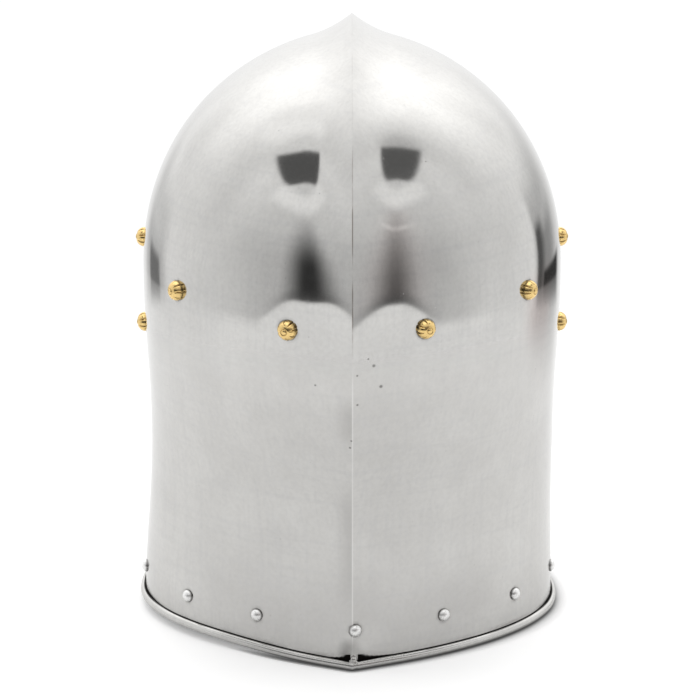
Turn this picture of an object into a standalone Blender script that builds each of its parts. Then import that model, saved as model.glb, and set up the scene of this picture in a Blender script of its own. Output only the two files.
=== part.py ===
"""Barbute: an open-faced steel helmet, raised as two halves and welded along a keel that runs
from the brow over the crown to the nape. Its whole edge, round the neck and up round the face,
is rolled outwards. Brass rosette rivets hold a lining at brow height and a chin strap at the
ears, and small steel rivets follow the neck edge.

The face looks along -Y. The origin is on the surface that the rolled edge stands on.
"""

import math

import bmesh
import bpy
from mathutils import Matrix, Vector
from mathutils.bvhtree import BVHTree
from mathutils.geometry import delaunay_2d_cdt

# Sheet, and the roll that finishes its edge
SHEET = 0.0016
ROLL_RADIUS = 0.00287
ROLL_OUT = ROLL_RADIUS - SHEET
ROLL_DROP = math.sqrt(ROLL_RADIUS**2 - ROLL_OUT**2)
EDGE_HEIGHT = ROLL_DROP + ROLL_RADIUS

# The ears are the widest place. Above them is the dome, and below them the wall.
EAR_HEIGHT = 0.178
EAR_HALF_WIDTH = 0.1038
BACK_REACH = 0.127
FRONT_REACH = 0.136
DOME_RISE = 0.1140
SECTION_POWER = 2.11
OUTLINE_POWER = 2.12

# The wall draws in to a waist and flares a little to its edge: reach at the waist, height of the
# waist, reach at the edge.
SIDE_WAIST = (0.1010, 0.088, 0.1026)
BACK_WAIST = (0.1010, 0.050, 0.1032)
FRONT_WAIST = (0.1290, 0.072, 0.1300)

# How pointed the plan is at the keel (0 is round), and the flare that draws each half out to it.
POINT_CROWN = 0.08
POINT_BACK = (0.36, 0.64)
POINT_FRONT = (0.34, 0.44)
FLARE_CROWN = 0.0072
FLARE_WALL = (0.0030, 0.0008)
FLARE_SPREAD = 0.0202

# Corners of the right half of the face opening, seen from the front, with their fillets
FACE_CORNERS = (
    # name, side, height, fillet
    ("nasal tip", 0.0060, 0.1200, 0.0055),
    ("brow", 0.0130, 0.1660, 0.0120),
    ("outer eye, above", 0.0720, 0.1670, 0.0180),
    ("outer eye, below", 0.0720, 0.1300, 0.0180),
    ("cheek", 0.0225, 0.1270, 0.0140),
    ("foot", 0.0235, EDGE_HEIGHT, 0.0120),
)

# Fineness of the mesh
DOME_ROWS = 30
WALL_ROWS = 10
COLUMNS = 13
COLUMN_CROWDING = 1.25
CHART_WIDTH = 0.160
EDGE_STEP = 0.011
FILLET_STEP = math.radians(32)
FACE_STEP = 0.0145

# Rivets: each place is seen square on from one side, as distance across (x, or y from the side)
# and height. All but the middle one are in pairs, left and right.
LINER_PLACES = (
    # seen from, across, height
    ("back", 0.0327, 0.1759),
    ("back", 0.0847, 0.1816),
    ("side", -0.0025, 0.1882),
    ("front", 0.0860, 0.1870),
    ("front", 0.0335, 0.1850),
)
STRAP_PLACE = ("side", 0.0045, 0.1462)
EDGE_RIVET_HEIGHT = 0.0200
EDGE_RIVET_PLACES = (
    # seen from, across
    ("back", 0.0465),
    ("back", 0.0815),
    ("side", 0.0145),
    ("side", -0.0335),
    ("front", 0.0760),
)
GAP = 0.0003
SEAT_GAP = 0.0004

# Turned outlines of the rivets: radius and height above the outer face of the skull
ROSETTE_RADIUS = 0.0050
ROSETTE_HEIGHT = 0.0045
ROSETTE_PETALS = 8
ROSETTE_SHANK = 0.0019
ROSETTE_TAIL = (0.0034, 0.0013)
DOME_HEAD_RADIUS = 0.00265
DOME_HEAD_HEIGHT = 0.0021
DOME_HEAD_SHANK = 0.0013
DOME_HEAD_TAIL = (0.0021, 0.0009)


def ease(share):
    """0 to 1 with no slope or bend at either end."""
    share = min(max(share, 0.0), 1.0)
    return share**3 * (10 - 15 * share + 6 * share**2)


def waisted(at_ears, waist, height):
    """A reach of the wall: its value at the ears eases to the waist, then to the edge."""
    at_waist, waist_height, at_edge = waist
    if height >= waist_height:
        drop = (EAR_HEIGHT - height) / (EAR_HEIGHT - waist_height)
        return at_ears + (at_waist - at_ears) * ease(drop)
    return at_edge + (at_waist - at_edge) * ease(height / waist_height)


def half_section(point, turn):
    """Side and depth, each 0 to 1, on half a pointed oval: turn is 0 at its point and 1 at its side."""
    start = math.asin(point)
    angle = start + (math.pi / 2 - start) * turn
    side = (math.sin(angle) - point) / (1 - point)
    depth = (max(math.cos(angle), 0.0) / math.cos(start)) ** (2 / SECTION_POWER)
    return side, depth


def flare(amount, side):
    return amount * max(1 - side / FLARE_SPREAD, 0.0) ** 2


def wall_shape(height, facing):
    """Half-width, reach, point and flare of the plan at one height of the wall."""
    fall = ease((EAR_HEIGHT - height) / EAR_HEIGHT)
    back = facing == "back"
    ends = POINT_BACK if back else POINT_FRONT
    reach = waisted(BACK_REACH, BACK_WAIST, height) if back else waisted(FRONT_REACH, FRONT_WAIST, height)
    point = ends[0] + (ends[1] - ends[0]) * fall
    lift = FLARE_WALL[0] + (FLARE_WALL[1] - FLARE_WALL[0]) * fall
    return waisted(EAR_HALF_WIDTH, SIDE_WAIST, height), reach, point, lift


def wall_point(height, turn, facing):
    half_width, reach, point, lift = wall_shape(height, facing)
    side, depth = half_section(point, turn)
    out = depth * reach + flare(lift, side * half_width)
    return Vector((side * half_width, out if facing == "back" else -out, height))


def dome_point(arch, turn):
    """A point of the dome: arch runs from 0 at the back through the crown to 1 at the brow."""
    across, up = math.cos(math.pi * arch), math.sin(math.pi * arch)
    reach = BACK_REACH if across > 0 else FRONT_REACH
    ends = POINT_BACK if across > 0 else POINT_FRONT
    outline = Vector(
        (
            0,
            math.copysign(reach * abs(across) ** (2 / OUTLINE_POWER), across),
            DOME_RISE * abs(up) ** (2 / OUTLINE_POWER),
        )
    )
    outward = Vector(
        (
            0,
            math.copysign(abs(across) ** (2 - 2 / OUTLINE_POWER) / reach, across),
            abs(up) ** (2 - 2 / OUTLINE_POWER) / DOME_RISE,
        )
    ).normalized()
    point = ends[0] + (POINT_CROWN - ends[0]) * up**2
    lift = FLARE_WALL[0] + (FLARE_CROWN - FLARE_WALL[0]) * up**2
    side, depth = half_section(point, turn)
    side *= EAR_HALF_WIDTH
    return Vector((side, 0, EAR_HEIGHT)) + outline * depth + outward * flare(lift, side)


def spread(first, last, count):
    """Count + 1 even steps from first to last."""
    return [first + (last - first) * step / count for step in range(count + 1)]


def columns():
    """Turns from the keel to the ear, closer together at the keel, where the surface bends most."""
    return [(step / COLUMNS) ** COLUMN_CROWDING for step in range(COLUMNS + 1)]


def turn_at(side, height):
    """The turn of the front wall whose distance from the keel plane is side."""
    half_width, _, point, _ = wall_shape(height, "front")
    start = math.asin(point)
    angle = math.asin(min(point + side / half_width * (1 - point), 1.0))
    return (angle - start) / (math.pi / 2 - start)


def opening_outline():
    """Side and height along the right half of the face opening, from the nasal's tip to the edge."""
    corners = [Vector((side, height)) for _, side, height, _ in FACE_CORNERS]
    corners = [Vector((0, FACE_CORNERS[0][2]))] + corners + [Vector((EAR_HALF_WIDTH / 2, EDGE_HEIGHT))]
    fillets = [row[3] for row in FACE_CORNERS]
    outline = [corners[0]]
    for before, corner, after, fillet in zip(corners, corners[1:], corners[2:], fillets):
        back, ahead = (before - corner).normalized(), (after - corner).normalized()
        half_angle = back.angle(ahead) / 2
        inset = fillet / math.tan(half_angle)
        centre = corner + (back + ahead).normalized() * fillet / math.sin(half_angle)
        first, last = corner + back * inset - centre, corner + ahead * inset - centre
        sweep = first.angle_signed(last)
        steps = max(2, math.ceil(abs(sweep) / FILLET_STEP))
        arc = []
        for angle in spread(0, sweep, steps):
            arm = first.copy()
            arm.rotate(Matrix.Rotation(-angle, 2))
            arc.append(centre + arm)
        straight = (arc[0] - outline[-1]).length
        pieces = max(1, round(straight / EDGE_STEP))
        outline += [outline[-1].lerp(arc[0], step / pieces) for step in range(1, pieces)]
        outline += arc
    return outline


def add_grid(mesh, rows):
    """Quads between rows of points that all have one length."""
    grid = [[mesh.verts.new(point) for point in row] for row in rows]
    for upper, lower in zip(grid, grid[1:]):
        for left in range(len(upper) - 1):
            mesh.faces.new((upper[left], upper[left + 1], lower[left + 1], lower[left]))


def add_face_side(mesh, turns, heights):
    """The front wall with the face opening left out: triangles fitted between its own edges."""
    outline = opening_outline()
    opening = [(turn_at(side, height), height) for side, height in outline]
    foot = opening[-1][0]
    rim_steps = round((1 - foot) * CHART_WIDTH / EDGE_STEP)
    keel_steps = max(2, round((EAR_HEIGHT - opening[0][1]) / EDGE_STEP))
    border = [(turn, EAR_HEIGHT) for turn in turns]
    border += [(1.0, height) for height in heights[1:-1]]
    border += [(turn, EDGE_HEIGHT) for turn in spread(1.0, foot, rim_steps)]
    border += opening[-2::-1]
    border += [(0.0, height) for height in spread(opening[0][1], EAR_HEIGHT, keel_steps)[1:-1]]
    inside = []
    for across in spread(0, CHART_WIDTH, round(CHART_WIDTH / FACE_STEP))[1:-1]:
        for height in spread(EDGE_HEIGHT, EAR_HEIGHT, round(EAR_HEIGHT / FACE_STEP))[1:-1]:
            here = Vector((across, height))
            nearest = min((here - Vector((turn * CHART_WIDTH, level))).length for turn, level in border)
            if nearest > 0.62 * FACE_STEP:
                inside.append((across / CHART_WIDTH, height))
    places = border + inside
    chart = [Vector((turn * CHART_WIDTH, height)) for turn, height in places]
    ring = [(step, (step + 1) % len(border)) for step in range(len(border))]
    _, _, triangles, sources, _, _ = delaunay_2d_cdt(chart, ring, [], 1, 1e-7)
    points = [mesh.verts.new(wall_point(places[source[0]][1], places[source[0]][0], "front")) for source in sources]
    for triangle in triangles:
        mesh.faces.new([points[corner] for corner in triangle])


def outer_face():
    """The outside of the whole skull, as one open sheet with its faces pointing out."""
    mesh = bmesh.new()
    turns = columns()
    heights = spread(EAR_HEIGHT, EDGE_HEIGHT, WALL_ROWS)
    add_grid(mesh, [[dome_point(arch, turn) for turn in turns] for arch in spread(0, 1, DOME_ROWS)])
    add_grid(mesh, [[wall_point(height, turn, "back") for turn in turns] for height in heights])
    add_face_side(mesh, turns, heights)
    bmesh.ops.remove_doubles(mesh, verts=mesh.verts, dist=1e-5)
    for vert in mesh.verts:
        if abs(vert.co.x) < 1e-6:
            vert.co.x = 0
    bmesh.ops.mirror(mesh, geom=mesh.verts[:] + mesh.edges[:] + mesh.faces[:], merge_dist=1e-5, axis="X")
    middle = Vector((0, 0, EAR_HEIGHT / 2))
    for face in mesh.faces:
        face.normal_update()
        if face.normal.dot(face.calc_center_median() - middle) < 0:
            face.normal_flip()
    mesh.normal_update()
    return mesh


def edge_loop(mesh):
    """The sheet's whole edge as one ring of points, in order."""
    start = next(vert for vert in mesh.verts if vert.is_boundary)
    ring = [start]
    while True:
        steps = [edge.other_vert(ring[-1]) for edge in ring[-1].link_edges if edge.is_boundary]
        ahead = [vert for vert in steps if vert not in ring[-2:]]
        if not ahead or (len(ring) > 2 and ahead[0] is start):
            return ring
        ring.append(ahead[0])


def roll_outline():
    """The roll's section, from the sheet's outer face round to its inner face: out and down."""
    corner = ROLL_RADIUS * math.tan(math.pi / 8)
    low, high = ROLL_DROP + corner, ROLL_DROP - corner
    return (
        (ROLL_OUT + corner, ROLL_DROP - ROLL_RADIUS),
        (ROLL_OUT + ROLL_RADIUS, high),
        (ROLL_OUT + ROLL_RADIUS, low),
        (ROLL_OUT + corner, EDGE_HEIGHT),
        (ROLL_OUT - corner, EDGE_HEIGHT),
        (ROLL_OUT - ROLL_RADIUS, low),
    )


def edge_frame(before, vert, after):
    """Unit directions at the edge: out of the sheet, and on past its edge."""
    factor = vert.calc_shell_factor()
    if abs(vert.co.z - EDGE_HEIGHT) < 1e-6:
        out = Vector((vert.normal.x, vert.normal.y, 0)).normalized()
        return out * factor, Vector((0, 0, -1))
    onward = (after.co - before.co).cross(vert.normal).normalized()
    if onward.dot(vert.link_faces[0].calc_center_median() - vert.co) > 0:
        onward.negate()
    return vert.normal * factor, onward


def skull_mesh():
    mesh = outer_face()
    ring = edge_loop(mesh)
    frames = [edge_frame(ring[i - 1], vert, ring[(i + 1) % len(ring)]) for i, vert in enumerate(ring)]
    outer_faces = mesh.faces[:]
    offsets = [(vert, vert.co - vert.normal * SHEET * vert.calc_shell_factor()) for vert in mesh.verts]
    inner = {vert: mesh.verts.new(place) for vert, place in offsets}
    for face in outer_faces:
        mesh.faces.new([inner[vert] for vert in reversed(face.verts)])
    rings = [ring]
    for out, onward in roll_outline():
        rings.append([mesh.verts.new(v.co + f[0] * out + f[1] * onward) for v, f in zip(ring, frames)])
    rings.append([inner[vert] for vert in ring])
    for here, there in zip(rings, rings[1:]):
        for i in range(len(ring)):
            mesh.faces.new((here[i - 1], here[i], there[i], there[i - 1]))
    bmesh.ops.recalc_face_normals(mesh, faces=mesh.faces)
    bmesh.ops.triangulate(mesh, faces=mesh.faces)
    return mesh


def finish(name, mesh, finish_material):
    """An object from a bmesh, shaded smooth with its sharp edges kept."""
    data = bpy.data.meshes.new(name)
    mesh.to_mesh(data)
    mesh.free()
    data.materials.append(finish_material)
    data.shade_smooth()
    data.set_sharp_from_angle(angle=math.radians(30))
    piece = bpy.data.objects.new(name, data)
    bpy.context.collection.objects.link(piece)
    return piece


def metal(name, colour, roughness):
    material = bpy.data.materials.new(name)
    material.use_nodes = True
    surface = material.node_tree.nodes["Principled BSDF"]
    surface.inputs["Base Color"].default_value = (*colour, 1)
    surface.inputs["Metallic"].default_value = 1
    surface.inputs["Roughness"].default_value = roughness
    return material


def lathe(outline, sides, lobes=()):
    """A solid turned round Z from outline, whose ends are on the axis. A row of lobes dents every
    other side of that ring: ring number, and how far it drops."""
    mesh = bmesh.new()
    rings = []
    drops = dict(lobes)
    for number, (radius, height) in enumerate(outline):
        if radius == 0:
            rings.append([mesh.verts.new((0, 0, height))] * sides)
            continue
        ring = []
        for side in range(sides):
            angle = 2 * math.pi * side / sides
            drop = drops.get(number, 0) * (side % 2)
            ring.append(mesh.verts.new((radius * math.cos(angle), radius * math.sin(angle), height - drop)))
        rings.append(ring)
    for here, there in zip(rings, rings[1:]):
        for side in range(sides):
            corners = dict.fromkeys((here[side - 1], here[side], there[side], there[side - 1]))
            mesh.faces.new(list(corners))
    bmesh.ops.recalc_face_normals(mesh, faces=mesh.faces)
    bmesh.ops.triangulate(mesh, faces=mesh.faces)
    return mesh


def shank_and_tail(head_radius, shank, tail, grip):
    """The rest of a rivet's outline under its head: shank, and tail peened over inside the sheet."""
    tail_radius, tail_height = tail
    return [
        (head_radius, 0),
        (shank, 0),
        (shank, -grip),
        (tail_radius, -grip),
        (0, -grip - tail_height),
    ]


def rosette(grip):
    """A flower-headed brass rivet: a button in a ring of petals."""
    top, rim = ROSETTE_HEIGHT, ROSETTE_RADIUS
    head = [
        (0, top),
        (0.24 * rim, 0.95 * top),
        (0.36 * rim, 0.82 * top),
        (0.68 * rim, 0.68 * top),
        (0.92 * rim, 0.32 * top),
    ]
    lobes = ((2, 0.05 * top), (3, 0.10 * top), (4, 0.07 * top))
    outline = head + shank_and_tail(rim, ROSETTE_SHANK, ROSETTE_TAIL, grip)
    return lathe(outline, 2 * ROSETTE_PETALS, lobes)


def round_head(grip):
    """A small steel rivet with a plain round head."""
    arc = [(math.sin(a), math.cos(a)) for a in spread(0, math.pi / 2, 3)]
    head = [(DOME_HEAD_RADIUS * side, DOME_HEAD_HEIGHT * up) for side, up in arc[:-1]]
    return lathe(head + shank_and_tail(DOME_HEAD_RADIUS, DOME_HEAD_SHANK, DOME_HEAD_TAIL, grip), 8)


def rivet_site(tree, seen_from, across, height):
    """Where the skull's outer face is met from one side, and the way it faces there."""
    if seen_from == "side":
        side = math.copysign(1, across[0])
        start, way = Vector((side, across[1], height)), Vector((-side, 0, 0))
    else:
        depth = 1 if seen_from == "back" else -1
        start, way = Vector((across[0], depth, height)), Vector((0, -depth, 0))
    point, normal, _, _ = tree.ray_cast(start, way)
    return point, normal


def seat(tree, point, outward, radius):
    """Heights of the sheet's two faces under a round head, measured along its axis from point."""
    tangent = outward.orthogonal().normalized()
    arms = [Vector()] + [Matrix.Rotation(a, 3, outward) @ tangent * radius for a in spread(0, 2 * math.pi, 8)]
    outside, inside = [], []
    for arm in arms:
        hit = tree.ray_cast(point + arm + outward * 0.01, -outward)[0]
        through = tree.ray_cast(hit - outward * SHEET / 4, -outward)[0]
        outside.append((hit - point).dot(outward))
        inside.append((through - point).dot(outward))
    return max(outside), min(inside)


def paired(seen_from, across):
    """The two mirrored places of a pair: across is x, or y where it is seen from the side."""
    if seen_from == "side":
        return [(sign, across) for sign in (1, -1)]
    return [(sign * across, 0) for sign in (1, -1)]


def rivet_rows():
    """Every rivet: name, kind, side that its place is seen from, place across, height."""
    ring = [(seen, place, height) for seen, across, height in LINER_PLACES for place in paired(seen, across)]
    rows = [(f"liner_rivet_{number:02d}", "rosette", *row) for number, row in enumerate(ring, 1)]
    seen, across, height = STRAP_PLACE
    for hand, place in zip(("left", "right"), paired(seen, across)):
        rows.append((f"strap_rivet_{hand}", "rosette", seen, place, height))
    edge = [("back", (0, 0))]
    edge += [(seen, place) for seen, across in EDGE_RIVET_PLACES for place in paired(seen, across)]
    for number, (seen, place) in enumerate(edge, 1):
        rows.append((f"edge_rivet_{number:02d}", "round", seen, place, EDGE_RIVET_HEIGHT))
    return rows


def hole(point, outward, shank):
    """A cutter for one rivet's hole, with its running gap."""
    mesh = bmesh.new()
    bmesh.ops.create_cone(
        mesh, cap_ends=True, segments=8, radius1=shank + GAP, radius2=shank + GAP, depth=8 * SHEET
    )
    turn = outward.to_track_quat("Z", "Y").to_matrix().to_4x4()
    mesh.transform(Matrix.Translation(point) @ turn)
    return mesh


def centred_skull():
    """The skull's mesh, moved along Y so that the origin is under the middle of its length."""
    mesh = skull_mesh()
    lengths = [vert.co.y for vert in mesh.verts]
    mesh.transform(Matrix.Translation((0, -(min(lengths) + max(lengths)) / 2, 0)))
    return mesh


def build():
    for old in list(bpy.data.objects):
        bpy.data.objects.remove(old)
    steel = metal("polished_steel", (0.62, 0.62, 0.63), 0.22)
    brass = metal("brass", (0.74, 0.55, 0.26), 0.25)
    bright = metal("bright_steel", (0.72, 0.72, 0.73), 0.2)
    whole = centred_skull()
    tree = BVHTree.FromBMesh(whole)
    skull = finish("skull", whole, steel)
    holes = bmesh.new()
    for name, kind, seen_from, across, height in rivet_rows():
        point, outward = rivet_site(tree, seen_from, across, height)
        flower = kind == "rosette"
        radius, shank = (ROSETTE_RADIUS, ROSETTE_SHANK) if flower else (DOME_HEAD_RADIUS, DOME_HEAD_SHANK)
        top, bottom = seat(tree, point, outward, radius)
        grip = top - bottom + 2 * SEAT_GAP
        rivet = finish(name, (rosette if flower else round_head)(grip), brass if flower else bright)
        rivet.location = point + outward * (top + SEAT_GAP)
        rivet.rotation_mode = "QUATERNION"
        rivet.rotation_quaternion = outward.to_track_quat("Z", "Y")
        cutter = hole(point, outward, shank)
        piece = bpy.data.meshes.new("hole")
        cutter.to_mesh(piece)
        cutter.free()
        holes.from_mesh(piece)
        bpy.data.meshes.remove(piece)
    cutters = finish("rivet_holes", holes, steel)
    cutters.hide_render = True
    cutters.display_type = "WIRE"
    cut = skull.modifiers.new("rivet holes", "BOOLEAN")
    cut.operation = "DIFFERENCE"
    cut.object = cutters


build()
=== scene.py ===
"""Barbute: a polished steel helmet with a welded keel, a rolled edge and brass rosettes, seen from
behind on a white table. It follows the helmet as its armourer makes it: the skull, the roll that
stiffens its edge, the weld that closes the roll at the nape, the rivets, and then the studio.

Everything is in metres. The face looks along -Y, and the roll stands on Z = 0.
"""

import math

import bmesh
import bpy
from mathutils import Matrix, Vector
from mathutils.bvhtree import BVHTree
from mathutils.geometry import delaunay_2d_cdt
from mathutils.kdtree import KDTree


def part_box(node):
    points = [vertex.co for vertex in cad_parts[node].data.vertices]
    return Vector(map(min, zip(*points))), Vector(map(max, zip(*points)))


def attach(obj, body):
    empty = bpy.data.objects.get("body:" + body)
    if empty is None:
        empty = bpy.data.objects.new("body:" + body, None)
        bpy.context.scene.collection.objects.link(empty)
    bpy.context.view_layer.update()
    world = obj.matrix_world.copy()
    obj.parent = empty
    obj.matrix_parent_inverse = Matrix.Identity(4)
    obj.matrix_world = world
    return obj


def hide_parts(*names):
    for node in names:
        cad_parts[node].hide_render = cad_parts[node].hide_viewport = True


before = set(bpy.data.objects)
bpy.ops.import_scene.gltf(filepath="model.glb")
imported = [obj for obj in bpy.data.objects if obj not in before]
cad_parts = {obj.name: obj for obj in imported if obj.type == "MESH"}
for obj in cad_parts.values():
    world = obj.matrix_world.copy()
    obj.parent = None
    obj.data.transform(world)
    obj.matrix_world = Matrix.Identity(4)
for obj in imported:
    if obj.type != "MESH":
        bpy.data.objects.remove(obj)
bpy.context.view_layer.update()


# ---- Skull ---------------------------------------------------------------------------------
# The bowl and the wall under it, raised cold as two halves from 1.6 mm mild steel sheet and
# welded along the keel, which runs from the brow over the crown to the nape. It was planished
# smooth and polished bright outside, and left as it came from the stake inside.

SHEET = 0.0016
EAR_HEIGHT = 0.178
EAR_HALF_WIDTH = 0.1038
BACK_REACH = 0.127
FRONT_REACH = 0.136
SECTION_POWER = 2.11
OUTLINE_POWER = 2.12
SIDE_WAIST = (0.1010, 0.088, 0.1031)
BACK_WAIST = (0.1010, 0.050, 0.1032)
FRONT_WAIST = (0.1290, 0.072, 0.1300)
POINT_CROWN = 0.08
POINT_BACK = (0.36, 0.64)
POINT_FRONT = (0.34, 0.44)
FLARE_CROWN = 0.0072
FLARE_WALL = (0.0030, 0.0008)
FLARE_SPREAD = 0.0202
ROLL_RADIUS = 0.0023
ROLL_OUT = 0.0001
ROLL_DROP = math.sqrt(ROLL_RADIUS**2 - ROLL_OUT**2)
EDGE_HEIGHT = ROLL_DROP + ROLL_RADIUS

skull_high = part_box("skull")[1]
dome_rise = skull_high[2] - EAR_HEIGHT - FLARE_CROWN
ear_row = skull_high[1] - BACK_REACH - FLARE_WALL[0]


def ease(share):
    """0 to 1 with no slope or bend at either end."""
    share = min(max(share, 0.0), 1.0)
    return share**3 * (10 - 15 * share + 6 * share**2)


def waisted(at_ears, waist, height):
    """A reach of the wall: its value at the ears eases to the waist, then to the edge."""
    at_waist, waist_height, at_edge = waist
    if height >= waist_height:
        drop = (EAR_HEIGHT - height) / (EAR_HEIGHT - waist_height)
        return at_ears + (at_waist - at_ears) * ease(drop)
    return at_edge + (at_waist - at_edge) * ease(height / waist_height)


def half_section(point, turn):
    """Side and depth, each 0 to 1, on half a pointed oval: turn is 0 at its point and 1 at its side."""
    start = math.asin(point)
    angle = start + (math.pi / 2 - start) * turn
    side = (math.sin(angle) - point) / (1 - point)
    depth = (max(math.cos(angle), 0.0) / math.cos(start)) ** (2 / SECTION_POWER)
    return side, depth


def flare(amount, side):
    return amount * max(1 - side / FLARE_SPREAD, 0.0) ** 2


def wall_shape(height, facing):
    """Half-width, reach, point and flare of the plan at one height of the wall."""
    fall = ease((EAR_HEIGHT - height) / EAR_HEIGHT)
    back = facing == "back"
    ends = POINT_BACK if back else POINT_FRONT
    reach = waisted(BACK_REACH, BACK_WAIST, height) if back else waisted(FRONT_REACH, FRONT_WAIST, height)
    point = ends[0] + (ends[1] - ends[0]) * fall
    lift = FLARE_WALL[0] + (FLARE_WALL[1] - FLARE_WALL[0]) * fall
    return waisted(EAR_HALF_WIDTH, SIDE_WAIST, height), reach, point, lift


def wall_point(height, turn, facing):
    half_width, reach, point, lift = wall_shape(height, facing)
    side, depth = half_section(point, turn)
    out = depth * reach + flare(lift, side * half_width)
    return Vector((side * half_width, ear_row + (out if facing == "back" else -out), height))


def dome_point(arch, turn):
    """A point of the dome: arch runs from 0 at the back through the crown to 1 at the brow."""
    across, up = math.cos(math.pi * arch), math.sin(math.pi * arch)
    reach = BACK_REACH if across > 0 else FRONT_REACH
    ends = POINT_BACK if across > 0 else POINT_FRONT
    outline = Vector((0, math.copysign(reach * abs(across) ** (2 / OUTLINE_POWER), across), 0))
    outline.z = dome_rise * abs(up) ** (2 / OUTLINE_POWER)
    outward = Vector((0, math.copysign(abs(across) ** (2 - 2 / OUTLINE_POWER) / reach, across), 0))
    outward.z = abs(up) ** (2 - 2 / OUTLINE_POWER) / dome_rise
    point = ends[0] + (POINT_CROWN - ends[0]) * up**2
    lift = FLARE_WALL[0] + (FLARE_CROWN - FLARE_WALL[0]) * up**2
    side, depth = half_section(point, turn)
    side *= EAR_HALF_WIDTH
    return Vector((side, ear_row, EAR_HEIGHT)) + outline * depth + outward.normalized() * flare(lift, side)


def spread(first, last, count):
    """Count + 1 even steps from first to last."""
    return [first + (last - first) * step / count for step in range(count + 1)]


# The face opening: corners of its right half seen from the front, each with its fillet
FACE_CORNERS = (
    # name, side, height, fillet
    ("nasal tip", 0.0060, 0.1200, 0.0055),
    ("brow", 0.0130, 0.1660, 0.0120),
    ("outer eye, above", 0.0720, 0.1670, 0.0180),
    ("outer eye, below", 0.0720, 0.1300, 0.0180),
    ("cheek", 0.0225, 0.1270, 0.0140),
    ("foot", 0.0235, EDGE_HEIGHT, 0.0120),
)
CHART_WIDTH = 0.160
EDGE_STEP = 0.0026
FILLET_STEP = math.radians(9)
FACE_STEP = 0.0034
CLEAR_OF_BORDER = 0.62


def turn_at(side, height):
    """The turn of the front wall whose distance from the keel plane is side."""
    half_width, _, point, _ = wall_shape(height, "front")
    start = math.asin(point)
    angle = math.asin(min(point + side / half_width * (1 - point), 1.0))
    return (angle - start) / (math.pi / 2 - start)


def opening_outline():
    """Side and height along the right half of the face opening, from the nasal's tip to the edge."""
    corners = [Vector((side, height)) for _, side, height, _ in FACE_CORNERS]
    corners = [Vector((0, FACE_CORNERS[0][2]))] + corners + [Vector((EAR_HALF_WIDTH / 2, EDGE_HEIGHT))]
    fillets = [row[3] for row in FACE_CORNERS]
    outline = [corners[0]]
    for before, corner, after, fillet in zip(corners, corners[1:], corners[2:], fillets):
        back, ahead = (before - corner).normalized(), (after - corner).normalized()
        half_angle = back.angle(ahead) / 2
        inset = fillet / math.tan(half_angle)
        centre = corner + (back + ahead).normalized() * fillet / math.sin(half_angle)
        first, last = corner + back * inset - centre, corner + ahead * inset - centre
        sweep = first.angle_signed(last)
        arc = []
        for angle in spread(0, sweep, max(2, math.ceil(abs(sweep) / FILLET_STEP))):
            arm = first.copy()
            arm.rotate(Matrix.Rotation(-angle, 2))
            arc.append(centre + arm)
        pieces = max(1, round((arc[0] - outline[-1]).length / EDGE_STEP))
        outline += [outline[-1].lerp(arc[0], step / pieces) for step in range(1, pieces)]
        outline += arc
    return outline


def add_grid(mesh, rows):
    """Quads between rows of points that all have one length."""
    grid = [[mesh.verts.new(point) for point in row] for row in rows]
    for upper, lower in zip(grid, grid[1:]):
        for left in range(len(upper) - 1):
            mesh.faces.new((upper[left], upper[left + 1], lower[left + 1], lower[left]))


def add_face_side(mesh, turns, heights):
    """The front wall with the face opening left out: triangles fitted between its own edges."""
    opening = [(turn_at(side, height), height) for side, height in opening_outline()]
    foot = opening[-1][0]
    rim_steps = round((1 - foot) * CHART_WIDTH / EDGE_STEP)
    keel_steps = round((EAR_HEIGHT - opening[0][1]) / EDGE_STEP)
    border = [(turn, EAR_HEIGHT) for turn in turns]
    border += [(1.0, height) for height in heights[1:-1]]
    border += [(turn, EDGE_HEIGHT) for turn in spread(1.0, foot, rim_steps)]
    border += opening[-2::-1]
    border += [(0.0, height) for height in spread(opening[0][1], EAR_HEIGHT, keel_steps)[1:-1]]
    chart = [Vector((turn * CHART_WIDTH, height)) for turn, height in border]
    near_border = KDTree(len(chart))
    for number, place in enumerate(chart):
        near_border.insert((*place, 0), number)
    near_border.balance()
    ring = [(step, (step + 1) % len(border)) for step in range(len(border))]
    for row, height in enumerate(spread(EDGE_HEIGHT, EAR_HEIGHT, round(EAR_HEIGHT / FACE_STEP))[1:-1]):
        stagger = FACE_STEP / 4 * (1 + row % 2)
        for across in spread(stagger, CHART_WIDTH, round(CHART_WIDTH / FACE_STEP))[:-1]:
            if near_border.find((across, height, 0))[2] > CLEAR_OF_BORDER * FACE_STEP:
                chart.append(Vector((across, height)))
    _, _, triangles, sources, _, _ = delaunay_2d_cdt(chart, ring, [], 1, 1e-7)
    places = [chart[source[0]] for source in sources]
    points = [mesh.verts.new(wall_point(place.y, place.x / CHART_WIDTH, "front")) for place in places]
    for triangle in triangles:
        mesh.faces.new([points[corner] for corner in triangle])


# The left half doesn't match the right one: on the dome it was beaten down closer along the keel.
CLOSER = 0.0015
CLOSER_SPREAD = 0.0210
CLOSER_POWER = 1.45
CLOSER_REACH = 0.075
CLOSER_FROM = 0.188
CLOSER_ALL = 0.260
CROWN_SPARED = 0.045


def left_dip(place):
    """How far the left half stands off the form that both halves were cut for."""
    on_dome = ease((place.z - CLOSER_FROM) / (CLOSER_ALL - CLOSER_FROM))
    behind = ease((place.y - ear_row) / CLOSER_REACH)
    closer = max(1 - place.x / CLOSER_SPREAD, 0.0) ** CLOSER_POWER - ease(1 - place.x / CLOSER_REACH)
    return CLOSER * closer * on_dome * behind * ease((skull_high[2] - place.z) / CROWN_SPARED)


# Under the ears both sides lean over to the left a little.
LEAN = 0.0019
LEAN_FROM = 0.105
LEAN_PLACE = 0.090


def lean(place):
    """How far a point of the wall leans over to the left."""
    return LEAN * ease(1 - place.z / LEAN_FROM) * ease(abs(place.x) / LEAN_PLACE)


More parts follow.
